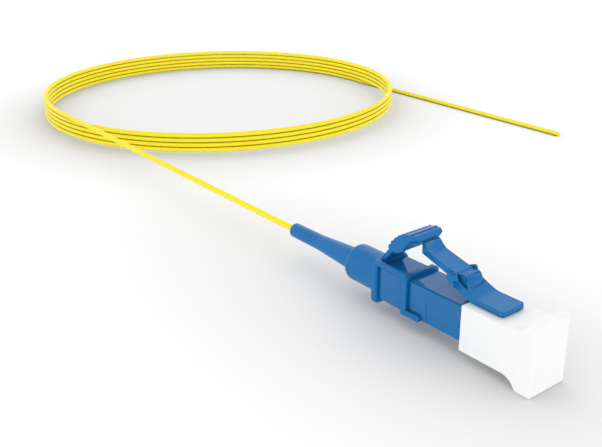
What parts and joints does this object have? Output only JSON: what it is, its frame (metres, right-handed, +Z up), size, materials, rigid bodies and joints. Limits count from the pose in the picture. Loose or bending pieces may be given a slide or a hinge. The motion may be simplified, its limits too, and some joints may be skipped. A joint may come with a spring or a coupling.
{
  "type": "fiber pigtail",
  "caption": "Latched square fibre plug with a flared dust cap on a thin buffered cord laid in a coil with a bare far end.",
  "frame": {"origin": "on the floor under the middle of the plug, measured from the dust cap's front to the boot's end, without the free cord", "axes": "+X along the plug towards the ferrule's tip, +Z up, +Y to the plug's left"},
  "size_m": [0.1579, 0.0797, 0.0117],
  "materials": {
    "blue_moulding": "satin moulded",
    "white_cap": "satin moulded",
    "yellow_buffer": "extruded satin",
    "inner_metal": "turned",
    "ceramic": "polished zirconia",
    "fibre_glass": "cleaved"
  },
  "bodies": {
    "plug": {"plug_housing": "blue_moulding", "trigger_clip": "blue_moulding", "back_post": "inner_metal", "boot": "blue_moulding", "buffer_in_plug": "yellow_buffer", "cord_lead": "yellow_buffer", "cord_coil": "yellow_buffer", "cord_tail": "yellow_buffer"},
    "cap": {"dust_cap": "white_cap"},
    "latch": {"latch_arm": "blue_moulding"},
    "trigger": {"trigger_lever": "blue_moulding"},
    "ferrule_group": {"ferrule": "ceramic", "ferrule_flange": "inner_metal", "glass_fibre": "fibre_glass", "spring": "inner_metal"}
  },
  "joints": [
    {"name": "dust_cap_pull", "type": "slide", "parent": "plug", "child": "cap", "axis": [1, 0, 0], "range_m": [0, 0.025]},
    {"name": "trigger_press", "type": "hinge", "parent": "plug", "child": "trigger", "pos_m": [-0.00183, 0, 0.00702], "axis": [0, 1, 0], "range_deg": [0, 9], "stiffness_Nm_per_rad": 0.02},
    {"name": "latch_flex", "type": "hinge", "parent": "plug", "child": "latch", "pos_m": [0.01175, 0, 0.00715], "axis": [0, -1, 0], "range_deg": [0, 10.8]},
    {"name": "ferrule_float", "type": "slide", "parent": "plug", "child": "ferrule_group", "axis": [-1, 0, 0], "range_m": [0, 0.0008], "stiffness_N_per_m": 1500, "deforming": ["spring"]}
  ],
  "couplings": [
    {"joint": "latch_flex", "follows": "trigger_press", "ratio": 1.2}
  ]
}
